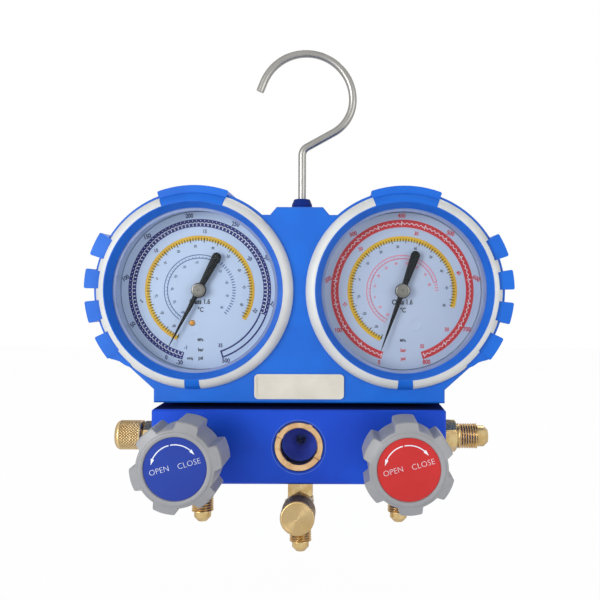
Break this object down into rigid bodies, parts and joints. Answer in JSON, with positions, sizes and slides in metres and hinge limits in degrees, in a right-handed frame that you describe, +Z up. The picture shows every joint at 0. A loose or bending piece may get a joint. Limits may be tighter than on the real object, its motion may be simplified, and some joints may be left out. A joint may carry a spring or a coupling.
{
  "type": "refrigerant manifold gauge",
  "caption": "Two-valve refrigerant manifold gauge set in a blue grip housing, with paired dials, lobed valve knobs, flare hose ports, a sight glass and a swivelling steel hook.",
  "frame": {"origin": "top of the inside of the hook, in the plane of its rod, where the set hangs", "axes": "+Z up, -Y the way the dials face, +X towards the high-pressure side, seen from the front on the right"},
  "size_m": [0.211, 0.0848, 0.2572],
  "materials": {
    "anodised_blue": "satin anodised",
    "blue_plastic": "fine satin",
    "pale_plastic": "satin",
    "grey_plastic": "satin",
    "label_blue": "gloss",
    "label_red": "gloss",
    "brass": "machined",
    "steel": "satin",
    "grey_steel": "painted",
    "dial_white": "printed",
    "black_paint": "satin",
    "clear": "clear",
    "rubber": "matt",
    "dark_blue_plastic": "satin"
  },
  "bodies": {
    "manifold": {"manifold_block": "anodised_blue", "sight_glass_ring": "brass", "sight_glass_lens": "clear", "sight_glass_seal": "rubber", "side_fitting_low": "brass", "side_fitting_high": "brass", "charging_tee": "brass", "tee_valve_core": "brass", "front_shell": "blue_plastic", "rear_shell": "blue_plastic", "shell_screws": "steel", "name_plate": "pale_plastic", "hook_bushing": "dark_blue_plastic", "low_hose_fitting": "brass", "low_valve_bonnet": "brass", "low_gauge_case": "grey_steel", "low_gauge_bezel": "steel", "low_gauge_lens": "clear", "low_gauge_dial": "dial_white", "low_gauge_socket": "brass", "low_bourdon_tube": "brass", "low_movement_frame": "brass", "low_trim_ring": "pale_plastic", "high_hose_fitting": "brass", "high_valve_bonnet": "brass", "high_gauge_case": "grey_steel", "high_gauge_bezel": "steel", "high_gauge_lens": "clear", "high_gauge_dial": "dial_white", "high_gauge_socket": "brass", "high_bourdon_tube": "brass", "high_movement_frame": "brass", "high_trim_ring": "pale_plastic"},
    "hook": {"hook": "steel", "hook_clip": "steel"},
    "side_cap_washer": {"side_cap_seal": "rubber"},
    "side_cap": {"side_cap": "brass"},
    "tee_cap_washer": {"tee_cap_seal": "rubber"},
    "tee_cap": {"tee_cap": "brass"},
    "low_piston": {"low_valve_piston": "brass", "low_piston_seal": "rubber"},
    "low_hand_wheel": {"low_valve_stem": "brass", "low_knob": "grey_plastic", "low_knob_label": "label_blue", "low_knob_screw": "steel"},
    "low_needle": {"low_pointer": "black_paint", "low_pinion_arbor": "steel"},
    "low_sector": {"low_sector_gear": "brass"},
    "low_link": {"low_sector_link": "brass"},
    "high_piston": {"high_valve_piston": "brass", "high_piston_seal": "rubber"},
    "high_hand_wheel": {"high_valve_stem": "brass", "high_knob": "grey_plastic", "high_knob_label": "label_red", "high_knob_screw": "steel"},
    "high_needle": {"high_pointer": "black_paint", "high_pinion_arbor": "steel"},
    "high_sector": {"high_sector_gear": "brass"},
    "high_link": {"high_sector_link": "brass"}
  },
  "joints": [
    {"name": "hook_swivel", "type": "hinge", "parent": "manifold", "child": "hook", "pos_m": [-0.0022, 0, -0.07945], "axis": [0, 0, 1], "continuous": true},
    {"name": "low_valve_lift", "type": "slide", "parent": "manifold", "child": "low_piston", "axis": [0, -1, 0], "range_m": [0, 0.00375]},
    {"name": "low_valve_turn", "type": "hinge", "parent": "low_piston", "child": "low_hand_wheel", "pos_m": [-0.0522, -0.023, -0.19705], "axis": [0, -1, 0], "range_deg": [0, 1080]},
    {"name": "low_pointer_turn", "type": "hinge", "parent": "manifold", "child": "low_needle", "pos_m": [-0.0537, -0.0068, -0.12065], "axis": [0, 1, 0], "range_deg": [-14, 312], "stiffness_Nm_per_rad": 0.0005},
    {"name": "low_sector_turn", "type": "hinge", "parent": "manifold", "child": "low_sector", "pos_m": [-0.0537, -0.0006, -0.13869], "axis": [0, 1, 0], "range_deg": [-39, 1.75]},
    {"name": "low_link_turn", "type": "hinge", "parent": "low_sector", "child": "low_link", "pos_m": [-0.04875, -0.0006, -0.14364], "axis": [0, 1, 0], "range_deg": [-1.75, 39]},
    {"name": "high_valve_lift", "type": "slide", "parent": "manifold", "child": "high_piston", "axis": [0, -1, 0], "range_m": [0, 0.00375]},
    {"name": "high_valve_turn", "type": "hinge", "parent": "high_piston", "child": "high_hand_wheel", "pos_m": [0.0478, -0.023, -0.19705], "axis": [0, -1, 0], "range_deg": [0, 1080]},
    {"name": "high_pointer_turn", "type": "hinge", "parent": "manifold", "child": "high_needle", "pos_m": [0.0493, -0.0068, -0.12065], "axis": [0, 1, 0], "range_deg": [-3, 322], "stiffness_Nm_per_rad": 0.0005},
    {"name": "high_sector_turn", "type": "hinge", "parent": "manifold", "child": "high_sector", "pos_m": [0.0493, -0.0006, -0.13869], "axis": [0, 1, 0], "range_deg": [-40.25, 0.38]},
    {"name": "high_link_turn", "type": "hinge", "parent": "high_sector", "child": "high_link", "pos_m": [0.05425, -0.0006, -0.14364], "axis": [0, 1, 0], "range_deg": [-0.38, 40.25]},
    {"name": "side_cap_lift", "type": "slide", "parent": "manifold", "child": "side_cap_washer", "axis": [-1, 0, 0], "range_m": [0, 0.0127]},
    {"name": "side_cap_turn", "type": "hinge", "parent": "side_cap_washer", "child": "side_cap", "pos_m": [-0.0814, -0.005, -0.19455], "axis": [-1, 0, 0], "range_deg": [0, 3600]},
    {"name": "tee_cap_lift", "type": "slide", "parent": "manifold", "child": "tee_cap_washer", "axis": [0, -1, 0], "range_m": [0, 0.0127]},
    {"name": "tee_cap_turn", "type": "hinge", "parent": "tee_cap_washer", "child": "tee_cap", "pos_m": [-0.0022, -0.019, -0.22905], "axis": [0, -1, 0], "range_deg": [0, 3600]}
  ],
  "couplings": [
    {"joint": "low_valve_turn", "follows": "low_valve_lift", "rad_per_m": 5026.5},
    {"joint": "low_sector_turn", "follows": "low_pointer_turn", "ratio": -0.125},
    {"joint": "low_link_turn", "follows": "low_pointer_turn", "ratio": 0.125},
    {"joint": "high_valve_turn", "follows": "high_valve_lift", "rad_per_m": 5026.5},
    {"joint": "high_sector_turn", "follows": "high_pointer_turn", "ratio": -0.125},
    {"joint": "high_link_turn", "follows": "high_pointer_turn", "ratio": 0.125},
    {"joint": "side_cap_turn", "follows": "side_cap_lift", "rad_per_m": 4947.4},
    {"joint": "tee_cap_turn", "follows": "tee_cap_lift", "rad_per_m": 4947.4}
  ]
}
